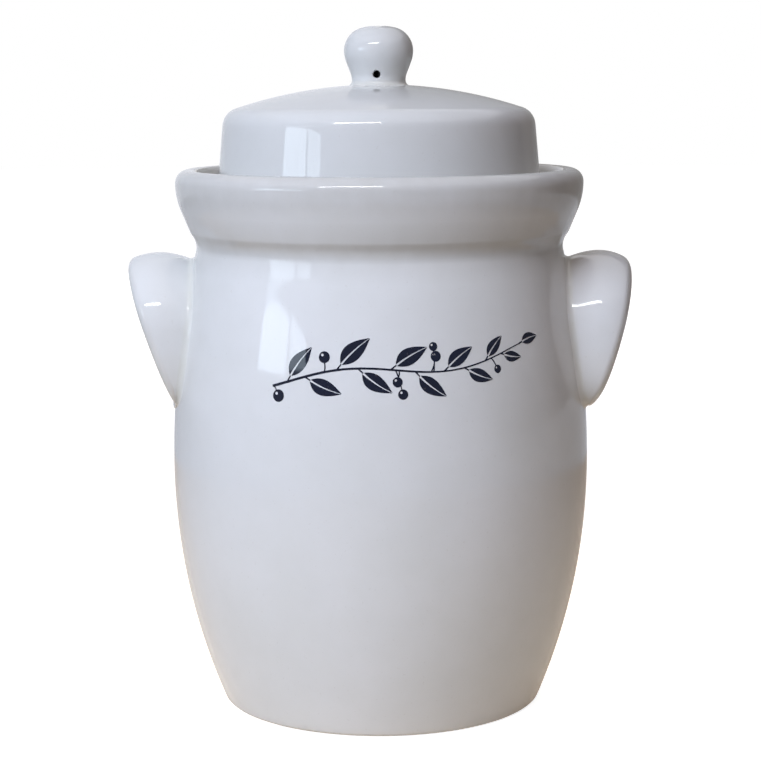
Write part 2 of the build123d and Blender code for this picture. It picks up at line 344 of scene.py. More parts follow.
def glaze_group():
    """Cloudy glaze that thins on edges, pools in hollows, takes painted shade by height and has a
    faint orange peel.
    """
    group, start, end = shader_group(
        "glaze_surface",
        [
            ("Body", "NodeSocketColor", (0.8, 0.8, 0.78, 1)),
            ("Cloud", "NodeSocketColor", (0.76, 0.75, 0.71, 1)),
            ("Thin", "NodeSocketColor", (0.6, 0.5, 0.38, 1)),
            ("Pool", "NodeSocketColor", (0.6, 0.59, 0.46, 1)),
            # The next colour is painted shade, for the groove under the flare and the crest
            ("Band", "NodeSocketColor", (0.44, 0.415, 0.37, 1)),
            ("Thin Amount", "NodeSocketFloat", 0.35),
            ("Pool Amount", "NodeSocketFloat", 0.4),
            ("Band Amount", "NodeSocketFloat", 0.62),
            ("Gloss Low", "NodeSocketFloat", 0.03),
            ("Gloss High", "NodeSocketFloat", 0.08),
        ],
        [
            ("Color", "NodeSocketColor"),
            ("Roughness", "NodeSocketFloat"),
            ("Height", "NodeSocketFloat"),
        ],
    )
    place = group.nodes.new("ShaderNodeTexCoord").outputs["Object"]
    clouds = ranged(group, noise_node(group, place, CLOUD_SCALE, 4, 0.6), 0.38, 0.66)
    flecks = ranged(group, noise_node(group, place, FLECK_SCALE, 1, 0.4), 0.70, 0.80)
    colour = mixed(group, clouds, start.outputs["Body"], start.outputs["Cloud"])
    # The thin and pooled colours are the glaze's own; the third is painted shade, laid by height
    for name, least in (("Thin", 0.55), ("Pool", 0.55), ("Band", 0.8)):
        bend = group.nodes.new("ShaderNodeAttribute")
        bend.attribute_name = f"glaze_{name.lower()}"
        uneven = ranged(group, noise_node(group, place, UNEVEN_SCALE, 3), 0.3, 0.7, least, 1.0)
        share = math_node(group, "MULTIPLY", bend.outputs["Fac"], uneven)
        share = math_node(group, "MULTIPLY", share, start.outputs[f"{name} Amount"])
        colour = mixed(group, share, colour, start.outputs[name])
    faint = math_node(group, "MULTIPLY", flecks, FLECK_AMOUNT)
    colour = mixed(group, faint, colour, FLECK_COLOUR)
    group.links.new(colour, end.inputs["Color"])
    smear = noise_node(group, place, SMEAR_SCALE, 3, 0.55)
    gloss = group.nodes.new("ShaderNodeMapRange")
    gloss.inputs["From Min"].default_value = 0.35
    gloss.inputs["From Max"].default_value = 0.7
    group.links.new(smear, gloss.inputs["Value"])
    group.links.new(start.outputs["Gloss Low"], gloss.inputs["To Min"])
    group.links.new(start.outputs["Gloss High"], gloss.inputs["To Max"])
    group.links.new(gloss.outputs["Result"], end.inputs["Roughness"])
    wave = noise_node(group, place, WAVE_SCALE, 1, 0.4)
    peel = noise_node(group, place, PEEL_SCALE, 2, 0.5)
    wave = math_node(group, "MULTIPLY", wave, WAVE_HEIGHT)
    peel = math_node(group, "MULTIPLY", peel, PEEL_HEIGHT)
    group.links.new(math_node(group, "ADD", wave, peel), end.inputs["Height"])
    return group


def surface_material(name, group, values, bump=1.0, distance=1 * MM, **sockets):
    """A material whose colour, roughness and bump come from a group, with plain sockets."""
    material = bpy.data.materials.new(name)
    material.use_nodes = True
    tree = material.node_tree
    shader = tree.nodes["Principled BSDF"]
    for socket, value in sockets.items():
        shader.inputs[socket.replace("_", " ")].default_value = value
    node = tree.nodes.new("ShaderNodeGroup")
    node.node_tree = group
    for socket, value in values.items():
        node.inputs[socket].default_value = value
    tree.links.new(node.outputs["Color"], shader.inputs["Base Color"])
    tree.links.new(node.outputs["Roughness"], shader.inputs["Roughness"])
    relief = tree.nodes.new("ShaderNodeBump")
    relief.inputs["Strength"].default_value = bump
    relief.inputs["Distance"].default_value = distance
    tree.links.new(node.outputs["Height"], relief.inputs["Height"])
    tree.links.new(relief.outputs["Normal"], shader.inputs["Normal"])
    return material


MOTTLE_SCALE = 60
GRIT_SCALE = 1400
GRAIN_SCALE = 700
GRIT_COLOUR = (0.2, 0.16, 0.12, 1)


def clay_group():
    """Bare fired clay: grainy, mottled and matt."""
    group, start, end = shader_group(
        "clay_surface",
        [
            ("Light", "NodeSocketColor", (0.66, 0.6, 0.5, 1)),
            ("Dark", "NodeSocketColor", (0.5, 0.43, 0.34, 1)),
            ("Grit", "NodeSocketFloat", 0.4),
        ],
        [
            ("Color", "NodeSocketColor"),
            ("Roughness", "NodeSocketFloat"),
            ("Height", "NodeSocketFloat"),
        ],
    )
    place = group.nodes.new("ShaderNodeTexCoord").outputs["Object"]
    mottle = ranged(group, noise_node(group, place, MOTTLE_SCALE, 5, 0.65), 0.35, 0.68)
    colour = mixed(group, mottle, start.outputs["Light"], start.outputs["Dark"])
    grit = ranged(group, noise_node(group, place, GRIT_SCALE, 2, 0.6), 0.62, 0.72)
    grit = math_node(group, "MULTIPLY", grit, start.outputs["Grit"])
    colour = mixed(group, grit, colour, GRIT_COLOUR)
    group.links.new(colour, end.inputs["Color"])
    group.links.new(ranged(group, mottle, 0, 1, 0.72, 0.9), end.inputs["Roughness"])
    group.links.new(noise_node(group, place, GRAIN_SCALE, 4, 0.7), end.inputs["Height"])
    return group


GLAZE = glaze_group()
CLAY = clay_group()
white_glaze = surface_material(
    "white_glaze",
    GLAZE,
    {
        "Body": (0.77, 0.77, 0.76, 1),
        "Cloud": (0.73, 0.73, 0.71, 1),
        "Thin": (0.55, 0.45, 0.34, 1),
        "Pool": (0.56, 0.55, 0.43, 1),
    },
)
rim_glaze = surface_material(
    "rim_glaze",
    GLAZE,
    {
        "Body": (0.765, 0.765, 0.755, 1),
        "Cloud": (0.725, 0.725, 0.705, 1),
        "Thin": (0.55, 0.45, 0.34, 1),
        "Pool": (0.54, 0.52, 0.43, 1),
        "Thin Amount": 0.12,
        "Pool Amount": 0.15,
    },
)
# The lid's glaze: the pot's glaze with a darker colour, which is painted shade, and less rough
lid_glaze = surface_material(
    "lid_glaze",
    GLAZE,
    {
        "Body": (0.7, 0.7, 0.685, 1),
        "Cloud": (0.665, 0.665, 0.64, 1),
        "Thin": (0.55, 0.45, 0.34, 1),
        "Pool": (0.54, 0.52, 0.43, 1),
        "Gloss Low": 0.015,
        "Gloss High": 0.045,
    },
)
bare_clay = surface_material("bare_clay", CLAY, {}, bump=0.5, distance=0.15 * MM)
weight_clay = surface_material(
    "weight_clay",
    CLAY,
    {"Light": (0.7, 0.66, 0.57, 1), "Dark": (0.58, 0.52, 0.43, 1), "Grit": 0.5},
    bump=0.5,
    distance=0.2 * MM,
)
ink = surface_material(
    "ink_under_glaze",
    GLAZE,
    {
        "Body": (0.004, 0.007, 0.022, 1),
        "Cloud": (0.008, 0.012, 0.032, 1),
        "Thin": (0.008, 0.012, 0.032, 1),
        "Pool": (0.004, 0.007, 0.022, 1),
    },
)


# Painted shade, by height: the glaze's colour is darkened in the groove under the ring's flare, and
# towards the ring's crest
PAINTED_SHADE_BAND = (
    (203, 0),
    (210, 0.28),
    (215, 0.75),
    (219, 0.9),
    (222, 0.32),
    (225, 0),
    (229, 0),
    (238, 0.68),
    (260, 0.9),
)


# Pot body
MIDDLE_RADIUS = 30
FOOT_RING_ROUND = 1.05
FOOT_ROUND = 3.0
GUTTER_ROUND = 2.5
COLLAR_ROUND = 2.7
MOUTH_ROUND = 5.0
SHOULDER_ROUND = 14.0
FLOOR_ROUND = 13.0
POT_SPACING = 9
POT_SIDES = 180
BARE_HEIGHT = 2.6
BARE_MARGIN = 1.2


def pot_profile():
    """The pot's section: foot, wall, shoulder, collar and inside, from axis to axis."""
    inner_lower = [
        (wall_radius(z, WALL), z) for z in [FLOOR_HEIGHT + 0.001 + 5.15 * i for i in range(21)]
    ]
    inner_upper = [
        (wall_radius(z, WALL), z)
        for z in [BELLY_HEIGHT + (SHOULDER_UNDERSIDE - BELLY_HEIGHT) * i / 20 for i in range(21)]
    ]
    outer_lower = [(wall_radius(z), z) for z in [BELLY_HEIGHT * i / 24 for i in range(25)]]
    upper = arc(UPPER_CENTRE, UPPER_ARC, 0, UPPER_ANGLE, 22)[1:]
    groove = arc(GROOVE_CENTRE, GROOVE_RADIUS, 180 + UPPER_ANGLE, 180, 5)[1:]
    points = [(0, FOOT_RECESS_DEPTH), (MIDDLE_RADIUS, FOOT_RECESS_DEPTH)]
    fillets = {}

    def corner(point, radius):
        fillets[len(points)] = radius
        points.append(point)

    corner((FOOT_RECESS_RADIUS, FOOT_RECESS_DEPTH), FOOT_RING_ROUND)
    corner((FOOT_RECESS_RADIUS, 0), FOOT_RING_ROUND)
    corner(outer_lower[0], FOOT_ROUND)
    points.extend(outer_lower[1:] + upper + groove)
    points.append((RING_SEAT, NECK_HEIGHT))
    points.append((RING_SEAT, GUTTER_FLOOR))
    corner((COLLAR_OUTER, GUTTER_FLOOR), GUTTER_ROUND)
    corner((COLLAR_OUTER, COLLAR_TOP), COLLAR_ROUND)
    corner((MOUTH_RADIUS, COLLAR_TOP), COLLAR_ROUND)
    corner((MOUTH_RADIUS, SHOULDER_UNDERSIDE), MOUTH_ROUND)
    corner(inner_upper[-1], SHOULDER_ROUND)
    points.extend(inner_upper[-2::-1] + inner_lower[-2:0:-1])
    corner(inner_lower[0], FLOOR_ROUND)
    points.extend([(MIDDLE_RADIUS, FLOOR_HEIGHT), (0, FLOOR_HEIGHT)])
    return spaced(rounded(points, fillets), POT_SPACING)


def make_pot():
    """The turned pot, glazed all over but for the ring that it stands on."""
    seam = (NECK_RADIUS, NECK_HEIGHT)
    pot = turned("stoneware_pot", pot_profile(), [white_glaze, bare_clay], POT_SIDES, seam)
    for face in pot.data.polygons:
        middle, bare_radius = face.center, (FOOT_RADIUS - BARE_MARGIN) * MM
        if middle.z < BARE_HEIGHT * MM and hypot(middle.x, middle.y) < bare_radius:
            face.material_index = 1
    # Painted shade in the groove under the ring's flare
    painted_shade_attribute(pot, PAINTED_SHADE_BAND[:6])
    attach(pot, "pot")
    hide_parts("pot_body")


# Gutter ring
RING_ROUND = 2.0
RING_SPACING = 6


def ring_profile():
    """The ring's section: groove, flare, rolled crest and the gutter's outer face."""
    roll = arc(GROOVE_CENTRE, GROOVE_RADIUS, 180, 180 - ROLL_SLOPE, 8)
    lip = arc((LIP_RADIUS - FLARE_RADIUS, LIP_HEIGHT), FLARE_RADIUS, -FLARE_SLOPE, 0, 16)
    near, far = radians(ROLL_SLOPE), radians(FLARE_SLOPE)
    across, up = lip[0][0] - roll[-1][0], lip[0][1] - roll[-1][1]
    run = (up * sin(near) - across * cos(near)) / sin(near - far)
    meeting = (lip[0][0] - run * sin(far), lip[0][1] - run * cos(far))
    inner_centre = (LIP_RADIUS - CREST_OUTER, LIP_HEIGHT + CREST_OUTER - CREST_INNER)
    across = inner_centre[0] - RING_FLOOR_RADIUS
    up = inner_centre[1] - GUTTER_FLOOR
    inner_angle = degrees(atan2(up, across) + asin(CREST_INNER / hypot(across, up))) + 90
    points = roll + [meeting] + lip
    fillets = {len(roll): ROLL_RADIUS}
    points += arc((LIP_RADIUS - CREST_OUTER, LIP_HEIGHT), CREST_OUTER, 0, 90, 12)[1:]
    points += arc(inner_centre, CREST_INNER, 90, inner_angle, 12)[1:]
    fillets[len(points)] = RING_ROUND
    points.append((RING_FLOOR_RADIUS, GUTTER_FLOOR))
    points += [(RING_SEAT, GUTTER_FLOOR), (RING_SEAT, NECK_HEIGHT)]
    return spaced(rounded(points, fillets), RING_SPACING)


def make_ring():
    """The flared ring round the gutter."""
    seam = (NECK_RADIUS, NECK_HEIGHT)
    ring = turned("gutter_rim", ring_profile(), [rim_glaze], POT_SIDES, seam)
    # Painted shade in the groove and towards the crest
    painted_shade_attribute(ring, PAINTED_SHADE_BAND)
    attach(ring, "pot")
    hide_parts("gutter_ring")


# Lid
LID_SIDES = 360
LID_EDGE_ROUND = 9.0
SKIRT_ROUND = 1.5
LID_INNER_ROUND = 4.0
LID_SPACING = 5
NOTCH_RADIUS = 5.0
NOTCH_BLEND = 16.0


def lid_profile():
    """The lid's section from the top of the dome round the skirt to the inside."""
    dome = [(r, dome_height(r)) for r in [LID_SHOULDER * i / 22 for i in range(23)]]
    inside_radius = LID_SHOULDER - LID_WALL
    inner = [
        (r, dome_height(r, LID_WALL)) for r in [inside_radius * i / 18 for i in range(19)]
    ]
    draft, rise = LID_SHOULDER - SKIRT_RADIUS, dome[-1][1] - SKIRT_BOTTOM
    skirt = [(SKIRT_RADIUS + draft * i / 6, SKIRT_BOTTOM + rise * i / 6) for i in range(7)]
    points = dome[:-1]
    fillets = {len(points): LID_EDGE_ROUND}
    points += skirt[::-1][:-1]
    fillets[len(points)] = SKIRT_ROUND
    points.append(skirt[0])
    fillets[len(points)] = SKIRT_ROUND
    points.append((SKIRT_RADIUS - LID_WALL, SKIRT_BOTTOM))
    fillets[len(points)] = LID_INNER_ROUND
    points += inner[::-1]
    return spaced(rounded(points, fillets), LID_SPACING)


def make_lid():
    """The domed lid, with its two gas notches sponged into the edge of the skirt."""
    lid = turned("domed_lid", lid_profile(), [lid_glaze], LID_SIDES)
    for vert in lid.data.vertices:
        height = vert.co.z / MM - SKIRT_BOTTOM
        across = abs(vert.co.y) / MM
        if height < NOTCH_BLEND and across < NOTCH_RADIUS and abs(vert.co.x) > 0.05:
            lift = sqrt(NOTCH_RADIUS**2 - across**2)
            vert.co.z += lift * (1 - height / NOTCH_BLEND) * MM
    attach(lid, "lid")
    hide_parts("lid")


# Knob
KNOB_SIDE = 10.8
KNOB_RADIUS = 15.9
KNOB_UNDER = 14.0
KNOB_SIDE_ANGLE = 77.0
KNOB_FLARE = 20.8
KNOB_NECK = 12.4
KNOB_WAIST = 8.0
KNOB_ROOT = 2.6
KNOB_CAVITY = 8.2
KNOB_BORE = 6.5
KNOB_SINK = 0.25
KNOB_SEAT = 0.8
KNOB_SPACING = 0.8
KNOB_SIDES = 128
VENT_RADIUS = 1.8
VENT_HEIGHT = 292.1
VENT_BEARING = -4.5
VENT_OUTSIDE = 2.5
VENT_ROUND = 0.3


def knob_profile():
    """The hollow knob's section, from its crown round to the inside of its cavity."""
    side = (KNOB_RADIUS - KNOB_SIDE, KNOB_HEIGHT)
    under = (KNOB_RADIUS - KNOB_UNDER, KNOB_HEIGHT)
    side_end = arc(side, KNOB_SIDE, KNOB_SIDE_ANGLE, KNOB_SIDE_ANGLE, 1)[0]
    crown_radius = side_end[0] / cos(radians(KNOB_SIDE_ANGLE))
    crown = (0, side_end[1] - crown_radius * sin(radians(KNOB_SIDE_ANGLE)))
    under_end = arc(under, KNOB_UNDER, -KNOB_FLARE, -KNOB_FLARE, 1)[0]
    waist_x = KNOB_NECK + KNOB_WAIST
    waist_top = waist_x - KNOB_WAIST * cos(radians(KNOB_FLARE))
    drop = (under_end[0] - waist_top) / tan(radians(KNOB_FLARE))
    waist = (waist_x, under_end[1] - drop - KNOB_WAIST * sin(radians(KNOB_FLARE)))
    points = arc(crown, crown_radius, 90, KNOB_SIDE_ANGLE, 8)
    points[0] = (0, points[0][1])
    points += arc(side, KNOB_SIDE, KNOB_SIDE_ANGLE, 0, 14)[1:]
    points += arc(under, KNOB_UNDER, 0, -KNOB_FLARE, 6)[1:]
    points += arc(waist, KNOB_WAIST, 180 - KNOB_FLARE, 180, 6)
    foot = points[-1][0] + KNOB_ROOT
    sink = dome_height(foot) + KNOB_ROOT - KNOB_SINK
    points += arc((foot, sink), KNOB_ROOT, 180, 266, 8)
    points += [(r, dome_height(r) - KNOB_SEAT) for r in (foot, KNOB_BORE)]
    meeting = sqrt(KNOB_CAVITY**2 - KNOB_BORE**2)
    start = degrees(asin(-meeting / KNOB_CAVITY))
    points += arc((0, KNOB_HEIGHT), KNOB_CAVITY, start, 90, 16)
    points[-1] = (0, points[-1][1])
    return spaced(points, KNOB_SPACING)


def open_vent(bm):
    """Cut the round vent through the knob's neck, and soften its rim."""
    bearing = radians(VENT_BEARING)
    out = Vector((sin(bearing), -cos(bearing), 0))
    middle = Vector((0, 0, VENT_HEIGHT * MM))
    side = Vector((cos(bearing), sin(bearing), 0))
    skin = BVHTree.FromBMesh(bm)
    radius = VENT_RADIUS * MM

    def flat(point):
        step = point - middle
        return Vector((step.dot(side), step.z))

    holes = [
        face
        for face in bm.faces
        if (face.calc_center_median() - middle).dot(out) > 0
        and flat(face.calc_center_median()).length < radius
    ]
    bmesh.ops.delete(bm, geom=holes, context="FACES")
    rims = [edge for edge in bm.edges if edge.is_boundary]
    loops = {}
    for edge in rims:
        for vert in edge.verts:
            loops[vert] = (vert.co - middle).dot(out) > (KNOB_BORE + VENT_OUTSIDE) * MM
    for vert, outer in loops.items():
        spot = flat(vert.co).normalized() * radius
        base = middle + side * spot.x + Vector((0, 0, spot.y))
        start = base + out * (0.03 if outer else 0)
        hit = skin.ray_cast(start, -out if outer else out)[0]
        vert.co = hit
    bmesh.ops.bridge_loops(bm, edges=rims)
    lip = [edge for edge in rims if all(loops[vert] for vert in edge.verts)]
    soften(bm, lip, VENT_ROUND, 3)


def make_knob():
    """The hollow knob on its turned neck, with the vent through the front of the neck."""
    knob = turned("hollow_knob", knob_profile(), [lid_glaze], KNOB_SIDES)
    bm = bmesh.new()
    bm.from_mesh(knob.data)
    open_vent(bm)
    for face in bm.faces:
        face.smooth = True
    bm.to_mesh(knob.data)
    bm.free()
    knob.data.set_sharp_from_angle(angle=radians(SHARP_ANGLE))
    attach(knob, "lid")
    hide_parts("lid_knob")


# Lugs
LUG_TOP = 210.5
LUG_HEIGHT = 72.0
LUG_BOTTOM = LUG_TOP - LUG_HEIGHT
LUG_HALF = 35.5
LUG_WIDEST = 0.54
LUG_SQUARE = 0.82
LUG_ROOT = 78.0
LUG_LENGTH = 46.6
LUG_WALL = 7.0
LUG_CROWN_WALL = 8.0
LUG_STATIONS = (0.0, 0.237, 0.496, 0.733, 1.0)
LUG_WIDTHS = (0.887, 0.93, 1.0, 0.935, 0.74)
LUG_SIDES = 128
OUTER_LIP = 4.0
INNER_LIP = 2.5
ROOT_FLARE = 3.2
ROOT_SINK = 0.25
CAVITY_SINK = 0.6


def between(reach, values):
    """A smooth curve through a lug's values at its stations, at a distance from the axis."""
    share = (reach - LUG_ROOT) / LUG_LENGTH
    total = 0
    for at, value in zip(LUG_STATIONS, values):
        weight = 1
        for other in LUG_STATIONS:
            if other != at:
                weight *= (share - other) / (at - other)
        total += weight * value
    return total


def lug_section(turn):
    """A point of a lug's section of unit size: a half circle on a squarer, rounded foot."""
    if turn <= pi:
        return cos(turn), sin(turn)
    share = (turn - pi) / (pi / 2)
    side = -1
    if share > 1:
        side, share = 1, 2 - share
    rest = 1 - share
    across = rest**3 + 3 * rest**2 * share + 3 * rest * share**2 * LUG_SQUARE
    down = 3 * rest**2 * share * LUG_SQUARE + 3 * rest * share**2 + share**3
    return side * across, -down


class LugShape:
    """What differs between the two lugs, which were pressed by hand."""

    def __init__(self, toe, tip, bow, drops):
        self.low, self.high = Vector((toe, LUG_BOTTOM)), Vector((tip, LUG_TOP))
        self.drops = drops
        chord = self.high - self.low
        inwards = Vector((-chord.y, chord.x)).normalized()
        self.radius = chord.length**2 / (8 * bow)
        self.centre = (self.low + self.high) / 2 + inwards * (self.radius - bow)

    def mouth(self, height):
        """The distance from the axis of the bowed mouth at a height."""
        return self.centre.x + sqrt(self.radius**2 - (height - self.centre.y) ** 2)


def lug_point(shape, turn, inset, place):
    """A point of a lug: its angle round the section, its inset, and place(y, z) along it."""
    reach = (LUG_ROOT + shape.high.x) / 2
    unit_across, unit_rise = lug_section(turn)
    for _ in range(6):
        end = inset * LUG_CROWN_WALL / LUG_WALL
        crown = LUG_TOP - between(reach, shape.drops) * LUG_HEIGHT - end
        bottom = LUG_BOTTOM + end
        widest = bottom + LUG_WIDEST * (crown - bottom)
        across = (LUG_HALF * between(reach, LUG_WIDTHS) - inset) * unit_across
        rise = (crown - widest) if unit_rise > 0 else (widest - bottom)
        height = widest + rise * unit_rise
        reach = 0.4 * reach + 0.6 * place(across, height)
    return Vector((place(across, height), across, height)) * MM


def lug_rings(shape):
    """The rings of a lug, from its drawn out root over the lips and back inside."""

    def root(y, z):
        return sqrt(wall_radius(z) ** 2 - y**2)

    def span(y, z):
        return max(shape.mouth(z) - root(y, z), 1.0)

    def face(y, z):
        return root(y, z) + span(y, z)

    def drawn(y, z):
        return min(ROOT_FLARE, 0.4 * span(y, z))

    def lip(y, z):
        return min(OUTER_LIP, 0.5 * span(y, z))

    rings = []
    for i in range(8):
        a = radians(90 * i / 7)
        rings.append(
            (
                lambda y, z, a=a: root(y, z) - ROOT_SINK + drawn(y, z) * (1 - cos(a)),
                -ROOT_FLARE * (1 - sin(a)),
            )
        )
    for share in [i / 14 for i in range(1, 14)]:
        rings.append(
            (
                lambda y, z, share=share: root(y, z)
                + drawn(y, z) * (1 - share)
                + (span(y, z) - lip(y, z)) * share,
                0,
            )
        )
    for i in range(10):
        a = radians(90 * i / 9)
        rings.append(
            (lambda y, z, a=a: face(y, z) - lip(y, z) * (1 - sin(a)), OUTER_LIP * (1 - cos(a)))
        )
    for i in range(7):
        a = radians(90 * i / 6)
        rings.append(
            (
                lambda y, z, a=a: face(y, z) - INNER_LIP * (1 - cos(a)),
                LUG_WALL - INNER_LIP * (1 - sin(a)),
            )
        )
    for share in [i / 9 for i in range(1, 10)]:
        rings.append(
            (
                lambda y, z, share=share: (face(y, z) - INNER_LIP) * (1 - share)
                + (root(y, z) - CAVITY_SINK) * share,
                LUG_WALL,
            )
        )
    return rings


def make_lug(name, side, node, shape):
    """One hollow lug with rounded lips, its root drawn out on the wall of the pot."""
    bm = bmesh.new()
    turns = [2 * pi * i / LUG_SIDES for i in range(LUG_SIDES)]
    ring = bmesh.ops.create_circle(bm, cap_ends=False, segments=LUG_SIDES, radius=1)["verts"]
    first = ring
    for index, (place, inset) in enumerate(lug_rings(shape)):
        if index:
            edges = [bm.edges.get((ring[i - 1], ring[i])) for i in range(LUG_SIDES)]
            made = bmesh.ops.extrude_edge_only(bm, edges=edges)["geom"]
            fresh = {v for v in made if isinstance(v, bmesh.types.BMVert)}
            ring = [
                [e.other_vert(v) for e in v.link_edges if e.other_vert(v) in fresh][0]
                for v in ring
            ]
        for vert, turn in zip(ring, turns):
            vert.co = lug_point(shape, turn, inset, place)
            vert.co.x *= side
    edges = []
    for loop in (first, ring):
        edges += [bm.edges.get((loop[i - 1], loop[i])) for i in range(LUG_SIDES)]
    bmesh.ops.bridge_loops(bm, edges=edges)
    lug = finish_mesh(bm, name, [white_glaze])
    bend_attributes(lug)
    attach(lug, "pot")
    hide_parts(node)


# Weights
WEIGHT_RADIUS = 57.0
WEIGHT_BOTTOM = 10.3
WEIGHT_THICKNESS = 18.0
WEIGHT_NOTCH = 14.0
WEIGHT_GAP = 0.5
WEIGHT_CORNER = 4.0
WEIGHT_ROUND = 3


def make_weight(name, side, body):
    """A half round stoneware weight with a finger notch, on the front or the back."""
    rim = arc((0, 0), WEIGHT_RADIUS, 0.5, 179.5, 90)
    notch = arc((0, 0), WEIGHT_NOTCH, 178, 2, 24)
    outline = [(x, max(y, WEIGHT_GAP)) for x, y in rim + notch]
    ends = (0, len(rim) - 1, len(rim), len(outline) - 1)
    outline = rounded(outline, {index: WEIGHT_CORNER for index in ends}, 6)
    bm = bmesh.new()
    verts = [bm.verts.new((x * MM, side * y * MM, WEIGHT_BOTTOM * MM)) for x, y in outline]
    face = bm.faces.new(verts)
    made = bmesh.ops.extrude_face_region(bm, geom=[face])["geom"]
    top = [v for v in made if isinstance(v, bmesh.types.BMVert)]
    bmesh.ops.translate(bm, verts=top, vec=(0, 0, WEIGHT_THICKNESS * MM))
    bmesh.ops.recalc_face_normals(bm, faces=bm.faces[:])
    ends = [f for f in bm.faces if abs(f.normal.z) > 0.9]
    rims = {e for f in ends for e in f.edges}
    soften(bm, list(rims), WEIGHT_ROUND, 5)
    weight = finish_mesh(bm, name, [weight_clay])
    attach(weight, body)
    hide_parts(body)


# Painted sprig
SPRIG_LEFT = -49.0
SPRIG_LENGTH = 119.0
SPRIG_LOW = 161.0
SPRIG_RISE = 13.0
SPRIG_WAVE = 3.2
SPRIG_GIRTH = 95.6
INK_LIFT = 0.08
INK_DEPTH = 0.35
STEM_THICK = 1.15
STEM_THIN = 0.45
VEIN = 0.42
LEAF_SWELL = 0.235
LEAF_CURL = 0.16
GLINT = 0.24
GLINT_OFFSET = 0.36
# Each leaf: its share along the stem, side, length and slant
LEAVES = (
    (0.06, 1, 15.5, 44),
    (0.13, -1, 15.0, 46),
    (0.25, 1, 16.5, 42),
    (0.33, -1, 15.0, 44),
    (0.45, 1, 15.5, 42),
    (0.54, -1, 14.5, 42),
    (0.65, 1, 14.0, 40),
    (0.73, -1, 12.5, 40),
    (0.82, 1, 11.5, 38),
    (0.89, -1, 10.0, 36),
    (0.985, 1, 10.5, 4),
)
# Each berry: its share along the stem, side, stalk, radius and slant
BERRIES = (
    (0.005, -1, 2.2, 2.7, 75),
    (0.205, 1, 3.8, 2.5, 80),
    (0.48, -1, 2.8, 2.2, 92),
    (0.468, -1, 8.6, 2.2, 68),
    (0.6, 1, 4.6, 2.3, 72),
    (0.61, 1, 8.8, 1.9, 90),
    (0.845, -1, 4.0, 1.8, 74),
)


def stem_point(share):
    """A point of the sprig's stem: its place round the pot and its height."""
    height = SPRIG_LOW + SPRIG_RISE * share + SPRIG_WAVE * sin(2 * pi * (1.2 * share - 0.08))
    return Vector((SPRIG_LEFT + SPRIG_LENGTH * share, height))


def stem_way(share):
    """The direction of the stem at a share of its length."""
    return (stem_point(share + 0.005) - stem_point(share - 0.005)).normalized()


def brush(bm, place, along, across=1):
    """Lay a grid and put each of its points where the brush went."""
    made = bmesh.ops.create_grid(bm, x_segments=along, y_segments=across, size=0.5)["verts"]
    for vert in made:
        spot = place(vert.co.x + 0.5, vert.co.y + 0.5)
        vert.co = (spot.x, spot.y, 0)


def stroke(bm, start, bend, end, thick, thin, steps=10):
    """A curved brush stroke from one point to another that tapers on its way."""

    def place(share, side):
        middle = start.lerp(bend, share).lerp(bend.lerp(end, share), share)
        way = (bend - start).lerp(end - bend, share).normalized()
        width = thick + (thin - thick) * share
        return middle + Vector((-way.y, way.x)) * width * (side - 0.5)

    brush(bm, place, steps)


def leaf(bm, share, side, length, slant):
    """One leaf of the sprig in two halves, with its vein left bare, on a short stalk."""
    root = stem_point(share)
    way = Matrix.Rotation(side * radians(slant), 2) @ stem_way(share)
    out = Vector((-way.y, way.x)) * side
    foot = root + way * length * 0.2
    stroke(bm, root, root + way * length * 0.1, foot, 0.75, 0.55, 4)
    for half in (-1, 1):

        def place(at, across, half=half):
            curl = out * (-LEAF_CURL * length * at * at)
            swell = LEAF_SWELL * length * sin(pi * at**0.78) ** 0.9 if 0 < at < 1 else 0
            vein = VEIN * (1 - 0.7 * at)
            reach = vein + max(swell - vein, 0) * across
            return foot + way * length * at + curl + out * half * reach

        brush(bm, place, 18, 3)


def berry(bm, share, side, reach, radius, slant):
    """A round berry with a bare glint, hanging from the stem on a thin stalk."""
    root = stem_point(share)
    way = Matrix.Rotation(side * radians(slant), 2) @ stem_way(share)
    middle = root + way * (reach + radius)
    bend = root + way * reach * 0.6 + Vector((0.6, 0))
    stroke(bm, root, bend, root + way * (reach + 0.4), 0.6, 0.5, 6)
    rim = bmesh.ops.create_circle(bm, cap_ends=False, segments=32, radius=radius)["verts"]
    glint = bmesh.ops.create_circle(bm, cap_ends=False, segments=32, radius=radius * GLINT)["verts"]
    for vert in glint:
        vert.co += Vector((-GLINT_OFFSET, GLINT_OFFSET, 0)) * radius
    for vert in rim + glint:
        vert.co += Vector((middle.x, middle.y, 0))
    edges = {e for v in rim + glint for e in v.link_edges}
    bmesh.ops.bridge_loops(bm, edges=list(edges))


def make_sprig():
    """A sprig of leaves and berries, painted across the front under the glaze."""
    bm = bmesh.new()
    brush(
        bm,
        lambda share, side: stem_point(share)
        + Vector((-stem_way(share).y, stem_way(share).x))
        * (STEM_THICK + (STEM_THIN - STEM_THICK) * share)
        * (side - 0.5),
        90,
    )
    for share, side, length, slant in LEAVES:
        leaf(bm, share, side, length, slant)
    for share, side, reach, radius, slant in BERRIES:
        berry(bm, share, side, reach, radius, slant)
    bmesh.ops.triangulate(bm, faces=[f for f in bm.faces if len(f.verts) > 4])
    made = bmesh.ops.extrude_face_region(bm, geom=bm.faces[:])["geom"]
    inner = {v for v in made if isinstance(v, bmesh.types.BMVert)}
    for vert in bm.verts:
        turn = vert.co.x / SPRIG_GIRTH
        reach = wall_radius(vert.co.y) + (-INK_DEPTH if vert in inner else INK_LIFT)
        vert.co = Vector((reach * sin(turn), -reach * cos(turn), vert.co.y)) * MM
    sprig = finish_mesh(bm, "painted_sprig", [ink])
    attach(sprig, "pot")


